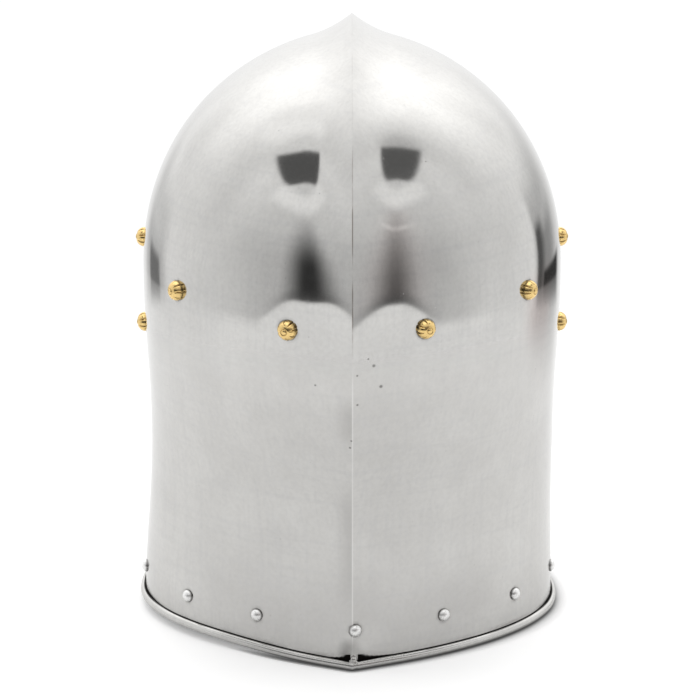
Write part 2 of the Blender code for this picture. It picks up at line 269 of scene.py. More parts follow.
# The edge isn't level: on the left, behind, it stands higher off the table.
RAISE = 0.0034
RAISE_PLACE = 0.085
RAISE_TAKEN_UP = 0.030


def raised(place):
    """How much higher than level a point near the edge stands."""
    share = ease(1 - (place.z - EDGE_HEIGHT) / RAISE_TAKEN_UP)
    return RAISE * share * ease(place.x / RAISE_PLACE) * ease(1 + place.y / RAISE_PLACE)


DOME_ROWS = 150
WALL_ROWS = 60
COLUMNS = 60
COLUMN_CROWDING = 1.25


def outer_face():
    """The outside of the whole skull, as one open sheet with its faces pointing out."""
    mesh = bmesh.new()
    turns = [(step / COLUMNS) ** COLUMN_CROWDING for step in range(COLUMNS + 1)]
    heights = spread(EAR_HEIGHT, EDGE_HEIGHT, WALL_ROWS)
    add_grid(mesh, [[dome_point(arch, turn) for turn in turns] for arch in spread(0, 1, DOME_ROWS)])
    add_grid(mesh, [[wall_point(height, turn, "back") for turn in turns] for height in heights])
    add_face_side(mesh, turns, heights)
    bmesh.ops.remove_doubles(mesh, verts=mesh.verts, dist=1e-5)
    for vert in mesh.verts:
        if abs(vert.co.x) < 1e-6:
            vert.co.x = 0
    bmesh.ops.mirror(mesh, geom=mesh.verts[:] + mesh.edges[:] + mesh.faces[:], merge_dist=1e-5, axis="X")
    middle = Vector((0, ear_row, EAR_HEIGHT / 2))
    for face in mesh.faces:
        face.normal_update()
        if face.normal.dot(face.calc_center_median() - middle) < 0:
            face.normal_flip()
    mesh.normal_update()
    for vert in mesh.verts:
        if vert.co.x > 0 and vert.co.y > ear_row:
            vert.co += vert.normal * left_dip(vert.co)
        vert.co.x += lean(vert.co)
    mesh.normal_update()
    return mesh


def edge_loop(mesh):
    """The sheet's whole edge as one ring of points, in order."""
    start = next(vert for vert in mesh.verts if vert.is_boundary)
    ring = [start]
    while True:
        steps = [edge.other_vert(ring[-1]) for edge in ring[-1].link_edges if edge.is_boundary]
        ahead = [vert for vert in steps if vert not in ring[-2:]]
        if not ahead or (len(ring) > 2 and ahead[0] is start):
            return ring
        ring.append(ahead[0])


def edge_frame(before, vert, after):
    """Unit directions at the edge: out of the sheet, and on past its edge."""
    if abs(vert.co.z - EDGE_HEIGHT) < 1e-6:
        return Vector((vert.normal.x, vert.normal.y, 0)).normalized(), Vector((0, 0, -1))
    onward = (after.co - before.co).cross(vert.normal).normalized()
    if onward.dot(vert.link_faces[0].calc_center_median() - vert.co) > 0:
        onward.negate()
    return vert.normal.copy(), onward


sheet = outer_face()
edge_ring = edge_loop(sheet)
edge_frames = []
for number, vert in enumerate(edge_ring):
    after = edge_ring[(number + 1) % len(edge_ring)]
    edge_frames.append(edge_frame(edge_ring[number - 1], vert, after))
for vert in sheet.verts:
    vert.co.z += raised(vert.co)
edge_places = [vert.co.copy() for vert in edge_ring]
nape_foot = max((place for place in edge_places if abs(place.x) < 1e-5), key=lambda place: place.y)

# The sheet runs on past the crease, into the roll.
tucked = [sheet.verts.new(place + way[1] * ROLL_DROP) for place, way in zip(edge_places, edge_frames)]
for number in range(len(edge_ring)):
    sheet.faces.new((edge_ring[number], edge_ring[number - 1], tucked[number - 1], tucked[number]))
bmesh.ops.recalc_face_normals(sheet, faces=sheet.faces)
outside = BVHTree.FromBMesh(sheet)


def add(tree, kind, sockets=None, **settings):
    """A node in tree, with its settings made and its named or numbered sockets given values or links."""
    node = tree.nodes.new(kind)
    for name, value in settings.items():
        setattr(node, name, value)
    for name, value in (sockets or {}).items():
        if isinstance(value, bpy.types.NodeSocket):
            tree.links.new(value, node.inputs[name])
        else:
            node.inputs[name].default_value = value
    return node


def new_tree(name, kind, inputs, outputs):
    """A node group with its named inputs and outputs, then what it is given and what it puts out."""
    tree = bpy.data.node_groups.new(name, kind)
    for title, socket_type, value in inputs:
        socket = tree.interface.new_socket(title, in_out="INPUT", socket_type=socket_type)
        if value is not None:
            socket.default_value = value
    for title, socket_type in outputs:
        tree.interface.new_socket(title, in_out="OUTPUT", socket_type=socket_type)
    return tree, tree.nodes.new("NodeGroupInput").outputs, tree.nodes.new("NodeGroupOutput").inputs


def math_node(tree, operation, *values):
    """The result of one sum."""
    return add(tree, "ShaderNodeMath", dict(enumerate(values)), operation=operation).outputs[0]


def product(tree, *values):
    """All the values multiplied together."""
    result = values[0]
    for value in values[1:]:
        result = math_node(tree, "MULTIPLY", result, value)
    return result


def fade(tree, value, full, none):
    """1 where value is at full, smoothly down to 0 where it is at none."""
    sockets = {"Value": value, "From Min": full, "From Max": none, "To Min": 1.0, "To Max": 0.0}
    return add(tree, "ShaderNodeMapRange", sockets, interpolation_type="SMOOTHSTEP").outputs[0]


def ramp(tree, value, none, full):
    """0 where value is at none, evenly up to 1 where it is at full."""
    return add(tree, "ShaderNodeMapRange", {"Value": value, "From Min": none, "From Max": full}).outputs[0]


def noise(tree, vector, scale, detail, roughness=0.5):
    """Soft patches of 0 to 1, about 1 / scale wide."""
    sockets = {"Vector": vector, "Scale": scale, "Detail": detail, "Roughness": roughness}
    return add(tree, "ShaderNodeTexNoise", sockets).outputs[0]


def scaled(tree, vector, size):
    """The vector made size times as long."""
    return add(tree, "ShaderNodeVectorMath", {0: vector, "Scale": size}, operation="SCALE").outputs[0]


def distance(tree, first, second):
    sockets = {0: first, 1: second}
    return add(tree, "ShaderNodeVectorMath", sockets, operation="DISTANCE").outputs["Value"]


# Shared effect: fine straight polishing lines. Noise, drawn out along the axes of smaller scale.
brushing, given, put_out = new_tree(
    "polishing_lines",
    "ShaderNodeTree",
    (
        ("Vector", "NodeSocketVector", None),
        ("Fineness", "NodeSocketVector", (2000.0, 2000.0, 50.0)),
        ("Detail", "NodeSocketFloat", 3.0),
    ),
    (("Lines", "NodeSocketFloat"),),
)
stretch = {0: given["Vector"], 1: given["Fineness"]}
drawn = add(brushing, "ShaderNodeVectorMath", stretch, operation="MULTIPLY").outputs[0]
brushing.links.new(noise(brushing, drawn, 1.0, given["Detail"]), put_out["Lines"])

# Shared effect: small pits and specks, scattered unevenly.
pitting, given, put_out = new_tree(
    "pits",
    "ShaderNodeTree",
    (
        ("Vector", "NodeSocketVector", None),
        ("Spacing", "NodeSocketFloat", 0.006),
        ("Size", "NodeSocketFloat", 0.10),
    ),
    (("Pits", "NodeSocketFloat"),),
)
pit_scale = math_node(pitting, "DIVIDE", 1.0, given["Spacing"])
dots = add(pitting, "ShaderNodeTexVoronoi", {"Vector": given["Vector"], "Scale": pit_scale})
dot = fade(pitting, dots.outputs["Distance"], 0.0, given["Size"])
some = add(pitting, "ShaderNodeSeparateColor", {0: dots.outputs["Color"]})
kept = fade(pitting, some.outputs[0], 0.10, 0.28)
pitting.links.new(math_node(pitting, "MULTIPLY", dot, kept), put_out["Pits"])

# Shared effect: painted shade in a corner, patchy, darkest at the corner. Gap is the distance from the
# corner.
corner_shade, given, put_out = new_tree(
    "grime_in_corners",
    "ShaderNodeTree",
    (
        ("Vector", "NodeSocketVector", None),
        ("Gap", "NodeSocketFloat", 0.0),
        ("Reach", "NodeSocketFloat", 0.004),
        ("Patch", "NodeSocketFloat", 0.012),
    ),
    (("Grime", "NodeSocketFloat"),),
)
close = fade(corner_shade, given["Gap"], 0.0, given["Reach"])
patch_scale = math_node(corner_shade, "DIVIDE", 1.0, given["Patch"])
uneven = ramp(corner_shade, noise(corner_shade, given["Vector"], patch_scale, 4.0), 0.35, 0.68)
corner_shade.links.new(math_node(corner_shade, "MULTIPLY", close, uneven), put_out["Grime"])


def group(tree, effect, output, **inputs):
    """A shared effect placed in a material, with that material's own values."""
    node = add(tree, "ShaderNodeGroup", node_tree=effect)
    for name, value in inputs.items():
        socket = node.inputs[name.replace("_", " ").capitalize()]
        if isinstance(value, bpy.types.NodeSocket):
            tree.links.new(value, socket)
        else:
            socket.default_value = value
    return node.outputs[output]


def new_finish(name, metallic=1.0):
    """A finish, of metal unless it says otherwise: its material, tree, surface and place on the piece."""
    material = bpy.data.materials.new(name)
    material.use_nodes = True
    tree = material.node_tree
    surface = tree.nodes["Principled BSDF"]
    surface.inputs["Metallic"].default_value = metallic
    place = add(tree, "ShaderNodeTexCoord").outputs["Object"]
    return material, tree, surface, place


def blend_colours(tree, share, first, second):
    """From first to second by share: each is a colour or a link."""
    sockets = {0: share, 6: first, 7: second}
    return add(tree, "ShaderNodeMix", sockets, data_type="RGBA").outputs[2]


def relief(tree, surface, *layers):
    """Bumps over each other on a surface, each a height and how deep it is in metres."""
    normal = None
    for height, depth in layers:
        bump = add(tree, "ShaderNodeBump", {"Height": height, "Distance": depth})
        if normal is not None:
            tree.links.new(normal, bump.inputs["Normal"])
        normal = bump.outputs[0]
    tree.links.new(normal, surface.inputs["Normal"])


POLISHED = (0.630, 0.624, 0.606, 1)
TARNISHED = (0.39, 0.38, 0.37, 1)
# SHADE_AND_GRIME paints the shade in corners and round rivet feet, and also soot and black scale.
SHADE_AND_GRIME = (0.10, 0.095, 0.09, 1)
SEAM_BROWN = (0.20, 0.17, 0.15, 1)
CREVICE_SHADE = (0.012, 0.011, 0.010, 1)
WORN = (0.535, 0.533, 0.53, 1)
PAINTED_HIGHLIGHT = (0.84, 0.835, 0.825, 1)
BRIGHTEST_DULL = 0.045

# How far each mark reaches: it is full up to the first distance, and has ended at the second.
RIM_SHADE = (0.00005, 0.00075)
CREVICE = (0.00022, 0.00055)
EAR_CREVICE = (0.0005, 0.0013)
EAR_LENGTH = (0.022, 0.048)
ROLL_BAND = (0.0034, 0.0070)
SEAM_WIDTH = (0.00005, 0.00045)
SEAM_TOP = (0.245, 0.262)
SEAM_FOOT = (0.180, 0.165)
BRIGHT_WIDTH = (0.00010, 0.00050)
BRIGHT_TOP = (0.150, 0.170)
DARKER_WIDTH = (0.0010, 0.0095)
DARKER_START = (0.0004, 0.0001)
DARKER_BANDS = (
    # height of its middle, reach up and down
    (0.132, (0.004, 0.016)),
    (0.066, (0.012, 0.040)),
)
PITS_BEHIND = (0.010, 0.0)
DEEP_PITS = (
    # how far across from the keel, how high, how wide
    (-0.0074, 0.1650, 0.0006),
    (-0.0100, 0.1612, 0.0011),
    (-0.0134, 0.1500, 0.0012),
    (-0.0022, 0.1575, 0.0007),
    (-0.0023, 0.1422, 0.0008),
    (0.0006, 0.1225, 0.0007),
    (0.0012, 0.1185, 0.0008),
    (0.0176, 0.1500, 0.0007),
)
SOOT_OFFSET = (0.0018, 0.0, 0.0050)
SOOT_REACH = (0.0010, 0.0080)
OVER_ROLL_TOP = (0.020, 0.050)
OVER_ROLL_FOOT = (0.018, 0.005)
OVER_ROLL_SIDE = (0.055, 0.085)

polished, tree, surface, place = new_finish("polished_steel")
across, behind, height = add(tree, "ShaderNodeSeparateXYZ", {0: place}).outputs
edge_gap, rivet_gap, keel_gap = (
    add(tree, "ShaderNodeAttribute", attribute_name=title).outputs["Fac"]
    for title in ("edge_gap", "rivet_gap", "keel_gap")
)

# The last polish went up and down, then round, and left fine lines and a few longer streaks.
upright_lines = group(tree, brushing, "Lines", vector=place, fineness=(2200.0, 2200.0, 55.0))
level_lines = group(tree, brushing, "Lines", vector=place, fineness=(40.0, 40.0, 1900.0))
long_upright = group(tree, brushing, "Lines", vector=place, fineness=(420.0, 420.0, 9.0))
long_level = group(tree, brushing, "Lines", vector=place, fineness=(11.0, 11.0, 330.0))
streak = math_node(tree, "ADD", fade(tree, long_upright, 0.68, 0.45), fade(tree, long_level, 0.70, 0.48))
cloud = ramp(tree, noise(tree, place, 34.0, 5.0, 0.6), 0.35, 0.75)
rub = fade(tree, noise(tree, place, 480.0, 3.0), 0.72, 0.34)
pits = group(tree, pitting, "Pits", vector=place, spacing=0.0050, size=0.095)

# Painted shade in corners: dark by the roll and round each rivet, under each rivet's rim, and black in
# the crease. At the ears the roll stands off the wall, and the crease's painted shade is wider.
edge_shade = group(tree, corner_shade, "Grime", vector=place, gap=edge_gap, reach=0.0030, patch=0.018)
rivet_shade = group(tree, corner_shade, "Grime", vector=place, gap=rivet_gap, reach=0.0022, patch=0.006)
under_rim = fade(tree, rivet_gap, *RIM_SHADE)
at_ears = fade(tree, math_node(tree, "ABSOLUTE", behind), *EAR_LENGTH)
ear_crevice = product(tree, fade(tree, edge_gap, *EAR_CREVICE), at_ears)
crevice = math_node(tree, "MAXIMUM", fade(tree, edge_gap, *CREVICE), ear_crevice)
by_roll = fade(tree, edge_gap, *ROLL_BAND)

# The keel's weld line shows brown, most of all at brow height, and in places not at all.
seam_patches = noise(tree, place, 45.0, 3.0)
at_brow = product(tree, fade(tree, height, *SEAM_TOP), fade(tree, height, *SEAM_FOOT))
seam = math_node(tree, "MULTIPLY_ADD", at_brow, 0.73, 0.12)
seam = product(tree, seam, fade(tree, seam_patches, 0.60, 0.34), fade(tree, keel_gap, *SEAM_WIDTH))

# Under the brow the keel's edge gets a painted highlight, and the steel just left of the keel is darker.
keel_highlight = product(tree, fade(tree, keel_gap, *BRIGHT_WIDTH), fade(tree, height, *BRIGHT_TOP))
darker_left_of_keel = 0.0
for middle, reach in DARKER_BANDS:
    from_middle = math_node(tree, "ABSOLUTE", math_node(tree, "SUBTRACT", height, middle))
    darker_left_of_keel = math_node(tree, "ADD", darker_left_of_keel, fade(tree, from_middle, *reach))
darker_left_of_keel = product(tree, darker_left_of_keel, fade(tree, across, *DARKER_WIDTH), fade(tree, across, *DARKER_START))

# A few pits by the keel are too deep to polish out, and keep their black scale.
deep_pits = 0.0
for pit_across, pit_height, pit_width in DEEP_PITS:
    pit_place = add(tree, "ShaderNodeCombineXYZ", {0: pit_across, 1: behind, 2: pit_height}).outputs[0]
    pit = fade(tree, distance(tree, place, pit_place), 0.3 * pit_width, pit_width)
    deep_pits = math_node(tree, "MAXIMUM", deep_pits, pit)
deep_pits = product(tree, deep_pits, fade(tree, behind, *PITS_BEHIND))

# Soot from the welding stays in the steel beside the keel's foot.
soot_gap = distance(tree, place, tuple(nape_foot + Vector(SOOT_OFFSET)))
soot = product(tree, fade(tree, soot_gap, *SOOT_REACH), fade(tree, seam_patches, 0.42, 0.95))

# Behind the neck, a finger's width over the roll, the steel is darker.
darker_over_roll = fade(tree, math_node(tree, "ABSOLUTE", across), *OVER_ROLL_SIDE)
darker_over_roll = product(tree, darker_over_roll, fade(tree, edge_gap, *OVER_ROLL_TOP), fade(tree, edge_gap, *OVER_ROLL_FOOT))

tint = POLISHED
for mark, strength, mark_tint in (
    (cloud, 0.28, TARNISHED),
    (darker_over_roll, 0.28, TARNISHED),
    (streak, 0.24, WORN),
    (rub, 0.13, TARNISHED),
    (pits, 0.7, TARNISHED),
    (edge_shade, 0.35, SHADE_AND_GRIME),
    (rivet_shade, 0.45, SHADE_AND_GRIME),
    (under_rim, 0.60, SHADE_AND_GRIME),
    (darker_left_of_keel, 0.45, TARNISHED),
    (seam, 1.0, SEAM_BROWN),
    (keel_highlight, 0.45, PAINTED_HIGHLIGHT),
    (deep_pits, 0.75, SHADE_AND_GRIME),
    (soot, 0.80, SHADE_AND_GRIME),
    (crevice, 1.0, CREVICE_SHADE),
):
    tint = blend_colours(tree, math_node(tree, "MULTIPLY", mark, strength), tint, mark_tint)
tree.links.new(tint, surface.inputs["Base Color"])

dull = BRIGHTEST_DULL
for mark, duller in (
    (cloud, 0.03),
    (upright_lines, 0.03),
    (streak, 0.012),
    (edge_shade, 0.2),
    (crevice, 0.5),
    (by_roll, 0.12),
):
    dull = math_node(tree, "MULTIPLY_ADD", mark, duller, dull)
tree.links.new(dull, surface.inputs["Roughness"])
relief(tree, surface, (upright_lines, 0.0000011), (level_lines, 0.0000010), (pits, -0.00005))

# Inside, the sheet is left as it came from the stake: grey scale, rubbed but never polished.
SCALE_GREY = (0.16, 0.155, 0.15, 1)
RUBBED_GREY = (0.30, 0.295, 0.29, 1)
raw, tree, surface, place = new_finish("raw_steel")
scale_marks = noise(tree, place, 60.0, 6.0)
rubbed = ramp(tree, scale_marks, 0.35, 0.7)
tree.links.new(blend_colours(tree, rubbed, SCALE_GREY, RUBBED_GREY), surface.inputs["Base Color"])
tree.links.new(math_node(tree, "MULTIPLY_ADD", rubbed, -0.12, 0.5), surface.inputs["Roughness"])
relief(tree, surface, (scale_marks, 0.0002))

# The sheet's thickness and the last soft unevenness of its planishing
planished, given, put_out = new_tree(
    "planished_sheet",
    "GeometryNodeTree",
    (
        ("Outer face", "NodeSocketGeometry", None),
        ("Thickness", "NodeSocketFloat", SHEET),
        ("Dent depth", "NodeSocketFloat", 0.0001),
        ("Dent size", "NodeSocketFloat", 0.035),
        ("Seed", "NodeSocketFloat", 0.0),
        ("Outside", "NodeSocketMaterial", None),
        ("Inside", "NodeSocketMaterial", None),
    ),
    (("Sheet", "NodeSocketGeometry"),),
)
dent_scale = math_node(planished, "DIVIDE", 1.0, given["Dent size"])
dents = add(
    planished,
    "ShaderNodeTexNoise",
    {"W": given["Seed"], "Scale": dent_scale, "Detail": 1.0, "Roughness": 0.3},
    noise_dimensions="4D",
)
depth = product(planished, math_node(planished, "SUBTRACT", dents.outputs[0], 0.5), given["Dent depth"])
push = scaled(planished, add(planished, "GeometryNodeInputNormal").outputs[0], depth)
dented = {"Geometry": given["Outer face"], "Offset": push}
dented = add(planished, "GeometryNodeSetPosition", dented).outputs[0]
outer_skin = {"Geometry": dented, "Material": given["Outside"]}
outer_skin = add(planished, "GeometryNodeSetMaterial", outer_skin).outputs[0]
inwards = math_node(planished, "MULTIPLY", given["Thickness"], -1.0)
walls = {"Mesh": outer_skin, "Offset Scale": inwards, "Individual": False}
walls = add(planished, "GeometryNodeExtrudeMesh", walls).outputs
inner_skin = {"Geometry": walls["Mesh"], "Selection": walls["Top"], "Material": given["Inside"]}
inner_skin = add(planished, "GeometryNodeSetMaterial", inner_skin).outputs[0]
inner_skin = add(planished, "GeometryNodeFlipFaces", {"Mesh": inner_skin}).outputs[0]
skins = add(planished, "GeometryNodeJoinGeometry")
planished.links.new(outer_skin, skins.inputs[0])
planished.links.new(inner_skin, skins.inputs[0])
closed = add(planished, "GeometryNodeMergeByDistance", {"Geometry": skins.outputs[0], "Distance": 1e-6})
planished.links.new(closed.outputs[0], put_out["Sheet"])


def piece_from(name, mesh):
    """A new object at the origin. mesh is a bmesh, which it uses up, or a finished mesh."""
    if isinstance(mesh, bmesh.types.BMesh):
        data = bpy.data.meshes.new(name)
        mesh.to_mesh(data)
        mesh.free()
        mesh = data
    mesh.name = name
    piece = bpy.data.objects.new(name, mesh)
    bpy.context.collection.objects.link(piece)
    return piece


def worked(name, start, tree, **sizes):
    """The piece that a geometry tree makes of start with these sizes, as a plain mesh. start is used up."""
    modifier = start.modifiers.new(tree.name, "NODES")
    modifier.node_group = tree
    for socket in tree.interface.items_tree:
        title = socket.name.lower().replace(" ", "_")
        if socket.in_out == "INPUT" and title in sizes:
            modifier[socket.identifier] = sizes[title]
    graph = bpy.context.evaluated_depsgraph_get()
    made = bpy.data.meshes.new_from_object(start.evaluated_get(graph))
    bpy.data.objects.remove(start)
    return piece_from(name, made)


skull = worked(
    "skull_shell",
    piece_from("outer_face", sheet),
    planished,
    thickness=SHEET,
    dent_depth=0.00022,
    dent_size=0.045,
    seed=3.0,
    outside=polished,
    inside=raw,
)
skull.data.shade_smooth()
skull.data.set_sharp_from_angle(angle=math.radians(28))

# How far each point is from the roll, the nearest rivet and the keel, for the painted shade in corners and
# the keel's marks
rivet_nodes = {"brass": [], "steel": []}
for node in sorted(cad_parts):
    if node.startswith(("liner_rivet", "strap_rivet")):
        rivet_nodes["brass"].append(node)
    elif node.startswith("edge_rivet"):
        rivet_nodes["steel"].append(node)
HEAD_RADIUS = {"brass": 0.0050, "steel": 0.0032}
# The holes were marked by eye: these rivets stand a little to one side of their even places.
STRAYS = (
    # kind, place across, place back, how far to the side
    ("brass", 0.032, 0.117, -0.0029),
    ("brass", -0.033, 0.118, -0.0022),
    ("brass", 0.085, 0.070, -0.0020),
    ("steel", 0.082, 0.058, -0.0026),
    ("steel", -0.046, 0.085, 0.0021),
)
STRAY_REACH = 0.010
rivet_places = []
for kind, nodes in rivet_nodes.items():
    for node in nodes:
        low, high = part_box(node)
        place = (Vector(low) + Vector(high)) / 2
        for stray, across, back, aside in STRAYS:
            if stray == kind and (place.xy - Vector((across, back))).length < STRAY_REACH:
                place.x += aside
        seat, outward, _, _ = outside.find_nearest(place)
        rivet_places.append((kind, seat, outward))


def nearest_tree(places):
    tree = KDTree(len(places))
    for number, place in enumerate(places):
        tree.insert(place, number)
    tree.balance()
    return tree


near_edge = nearest_tree(edge_places)
near_rivet = nearest_tree([seat for _, seat, _ in rivet_places])


# Painted shade widens the crease's black into a gap on each side of the keel's foot, though the roll
# is closed there. At both ears the roll stands clear of the wall, and the painted black is wider too.
NAPE_GAPS = (
    # where it is widest, where it ends, how wide
    (0.0008, 0.0105, 0.0030),
    (-0.0022, -0.0190, 0.0028),
)
NAPE_GAP_FROM = 0.09
NAPE_GAP_POWER = 0.6
EAR_GAP = 0.0004
# Where along the ear it starts, and where it is full
EAR_GAP_BACK = (0.045, 0.020)
EAR_GAP_FRONT = (-0.060, -0.020)


def gap_beside_keel(place):
    """How wide the painted gap beside the keel is at this place of the crease."""
    if place.y < NAPE_GAP_FROM:
        return 0.0
    for widest, end, width in NAPE_GAPS:
        share = (place.x - widest) / (end - widest)
        if 0 <= share <= 1:
            return width * (1 - share) ** NAPE_GAP_POWER
    return 0.0


def gap_at_ear(place):
    """How far the roll stands clear of the wall at this place of the crease."""
    if abs(place.x) <= EAR_HALF_WIDTH / 2:
        return 0.0
    width = EAR_GAP
    for start, full in (EAR_GAP_BACK, EAR_GAP_FRONT):
        width *= ease((place.y - start) / (full - start))
    return width


def mark_gaps(piece, has_keel, keel_gap_share):
    """Stores on a piece how far each of its points is from the crease, the rivets and the keel."""
    gaps = {"edge_gap": [], "rivet_gap": [], "keel_gap": []}
    for vert in piece.data.vertices:
        _, number, distance = near_rivet.find(vert.co)
        gaps["rivet_gap"].append(distance - HEAD_RADIUS[rivet_places[number][0]])
        crease, _, distance = near_edge.find(vert.co)
        open_width = keel_gap_share * gap_beside_keel(crease) + gap_at_ear(crease) / 2
        gaps["edge_gap"].append(max(distance - open_width, 0.0))
        gaps["keel_gap"].append(abs(vert.co.x) if has_keel else 1.0)
    for title, values in gaps.items():
        piece.data.attributes.new(title, "FLOAT", "POINT").data.foreach_set("value", values)


mark_gaps(skull, has_keel=True, keel_gap_share=1.0)
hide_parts("skull")
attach(skull, "root")


# ---- Rolled edge ---------------------------------------------------------------------------
# The sheet's own edge, turned outwards over an iron wire all the way round the neck and up round
# the face, and hammered shut. Its end stops just short of the wall, which leaves a crease whose shade
# is painted dark on the steel.

MITRE_PLACE = -0.0012
MITRE_WIDTH = 0.0009
MITRE_GIRTH = 0.86
roll_places, to_crease, girths = [], [], []
for place, (out, onward) in zip(edge_places, edge_frames):
    roll_places.append(place + out * (ROLL_OUT + gap_at_ear(place)) + onward * ROLL_DROP)
    to_crease.extend(-(out * ROLL_OUT + onward * ROLL_DROP).normalized())
    mitre = place.y > 0 and abs(place.x - MITRE_PLACE) < MITRE_WIDTH
    girths.append(MITRE_GIRTH if mitre else 1.0)
roll_steps = [(number, (number + 1) % len(roll_places)) for number in range(len(roll_places))]
roll_data = bpy.data.meshes.new("roll_path")
roll_data.from_pydata(roll_places, roll_steps, [])
roll_data.attributes.new("crease", "FLOAT_VECTOR", "POINT").data.foreach_set("vector", to_crease)
roll_data.attributes.new("girth", "FLOAT", "POINT").data.foreach_set("value", girths)

rolled, given, put_out = new_tree(
    "rolled_edge",
    "GeometryNodeTree",
    (
        ("Path", "NodeSocketGeometry", None),
        ("Roll radius", "NodeSocketFloat", ROLL_RADIUS),
        ("Sides", "NodeSocketInt", 28),
        ("Crease depth", "NodeSocketFloat", 0.0011),
        ("Crease angle", "NodeSocketFloat", math.radians(15)),
        ("Hammer marks", "NodeSocketFloat", 0.03),
        ("Mark length", "NodeSocketFloat", 0.009),
        ("Seed", "NodeSocketFloat", 0.0),
        ("Finish", "NodeSocketMaterial", None),
    ),
    (("Roll", "NodeSocketGeometry"),),
)
crease = {"Name": "crease"}
crease = add(rolled, "GeometryNodeInputNamedAttribute", crease, data_type="FLOAT_VECTOR").outputs[0]
girth = add(rolled, "GeometryNodeInputNamedAttribute", {"Name": "girth"}, data_type="FLOAT").outputs[0]
path = add(rolled, "GeometryNodeMeshToCurve", {"Mesh": given["Path"]}).outputs[0]
path = add(rolled, "GeometryNodeSetCurveNormal", {"Curve": path, "Normal": crease}, mode="FREE").outputs[0]
marks = {"W": given["Seed"], "Scale": math_node(rolled, "DIVIDE", 1.0, given["Mark length"]), "Detail": 2.0}
marks = add(rolled, "ShaderNodeTexNoise", marks, noise_dimensions="4D").outputs[0]
hammered = math_node(rolled, "MULTIPLY_ADD", marks, given["Hammer marks"], 1.0)
hammered = math_node(rolled, "MULTIPLY_ADD", given["Hammer marks"], -0.5, hammered)
swell = math_node(rolled, "MULTIPLY", hammered, girth)

# The roll's section is a circle, drawn in at the crease.
circle = {"Resolution": given["Sides"], "Radius": given["Roll radius"]}
circle = add(rolled, "GeometryNodeCurvePrimitiveCircle", circle).outputs["Curve"]
on_circle = add(rolled, "GeometryNodeInputPosition").outputs[0]
right, up, _ = add(rolled, "ShaderNodeSeparateXYZ", {0: on_circle}).outputs
from_crease = math_node(rolled, "ABSOLUTE", math_node(rolled, "ARCTAN2", up, right))
pinch = product(rolled, fade(rolled, from_crease, 0.0, given["Crease angle"]), given["Crease depth"])
pinch = math_node(rolled, "DIVIDE", pinch, given["Roll radius"])
drawn_in = scaled(rolled, on_circle, math_node(rolled, "SUBTRACT", 1.0, pinch))
section = add(rolled, "GeometryNodeSetPosition", {"Geometry": circle, "Position": drawn_in}).outputs[0]
tube = {"Curve": path, "Profile Curve": section, "Scale": swell}
tube = add(rolled, "GeometryNodeCurveToMesh", tube).outputs[0]
tube = add(rolled, "GeometryNodeSetShadeSmooth", {"Geometry": tube}).outputs[0]
tube = add(rolled, "GeometryNodeSetMaterial", {"Geometry": tube, "Material": given["Finish"]}).outputs[0]
rolled.links.new(tube, put_out["Roll"])

rolled_edge = worked(
    "rolled_edge",
    piece_from("roll_path", roll_data),
    rolled,
    roll_radius=ROLL_RADIUS,
    crease_depth=0.0006,
    crease_angle=math.radians(11),
    hammer_marks=0.030,
    mark_length=0.010,
    seed=5.0,
    finish=polished,
)
mark_gaps(rolled_edge, has_keel=False, keel_gap_share=0.3)
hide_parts("skull")
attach(rolled_edge, "root")


# ---- Nape weld -----------------------------------------------------------------------------
# Where the two rolls meet behind the neck, a run of weld fills the mitre and ties it to the foot
# of the keel. It was ground back by hand, which leaves it lumpy.

WELD_LUMPS = (
    # across, height above the edge, radius
    (-0.0006, 0.0012, 0.0017),
    (-0.0012, -0.0006, 0.0016),
    (0.0004, 0.0000, 0.0013),
)
WELD_PROUD = 0.2
lumps = bmesh.new()
for aside, over_edge, radius in WELD_LUMPS:
    middle = Vector((aside, nape_foot.y + WELD_PROUD * radius, EDGE_HEIGHT + over_edge))
    bmesh.ops.create_icosphere(lumps, subdivisions=3, radius=radius, matrix=Matrix.Translation(middle))
loose = piece_from("nape_weld", lumps)
fuse = loose.modifiers.new("fuse", "REMESH")
fuse.mode = "VOXEL"
fuse.voxel_size = 0.0002
soften = loose.modifiers.new("soften", "SMOOTH")
soften.iterations = 4
graph = bpy.context.evaluated_depsgraph_get()
fused = bpy.data.meshes.new_from_object(loose.evaluated_get(graph))
bpy.data.objects.remove(loose)
weld = piece_from("nape_weld", fused)
weld.data.shade_smooth()
weld.data.materials.append(polished)
mark_gaps(weld, has_keel=False, keel_gap_share=0.0)
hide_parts("skull")
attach(weld, "root")


# ---- Rivets --------------------------------------------------------------------------------
# Brass rosettes hold the lining at brow height and the chin strap at the ears. Their heads were
# stamped as flowers with eight petals round a button. Small steel rivets with plain round heads
# follow the neck. All are set through the sheet and peened over inside.

PETALS = 8
PETAL_FROM, PETAL_CUT = 0.50, 0.12
BUTTON_RADIUS, BUTTON_RISE = 0.27, 0.07
MOAT_RADIUS, MOAT_WIDTH, MOAT_DEPTH = 0.30, 0.045, 0.06
ROSETTE_FULLNESS = 2.6
ROSETTE_RINGS = 26
ROSETTE_HEIGHT = 0.0045
ROSETTE_SHANK = 0.0019
ROSETTE_TAIL = (0.0034, 0.0013)


def turned(outline, sides):
    """A solid turned round Z. Each ring of outline, from the top down, gives radius, height and
    hollow at an angle."""
    mesh = bmesh.new()
    hollows = mesh.verts.layers.float.new("hollow")
    rings = []
    for ring_at in outline:
        if ring_at(0)[0] == 0:
            rings.append([mesh.verts.new((0, 0, ring_at(0)[1]))] * sides)
            continue
        ring = []
        for side in range(sides):
            angle = 2 * math.pi * side / sides
            radius, height, hollow = ring_at(angle)
            ring.append(mesh.verts.new((radius * math.cos(angle), radius * math.sin(angle), height)))
            ring[-1][hollows] = hollow
        rings.append(ring)
    for here, there in zip(rings, rings[1:]):
        for side in range(sides):
            mesh.faces.new(list(dict.fromkeys((here[side - 1], here[side], there[side], there[side - 1]))))
    bmesh.ops.recalc_face_normals(mesh, faces=mesh.faces)
    return mesh


def plain_ring(radius, height, hollow=0.0):
    return lambda angle: (radius, height, hollow)


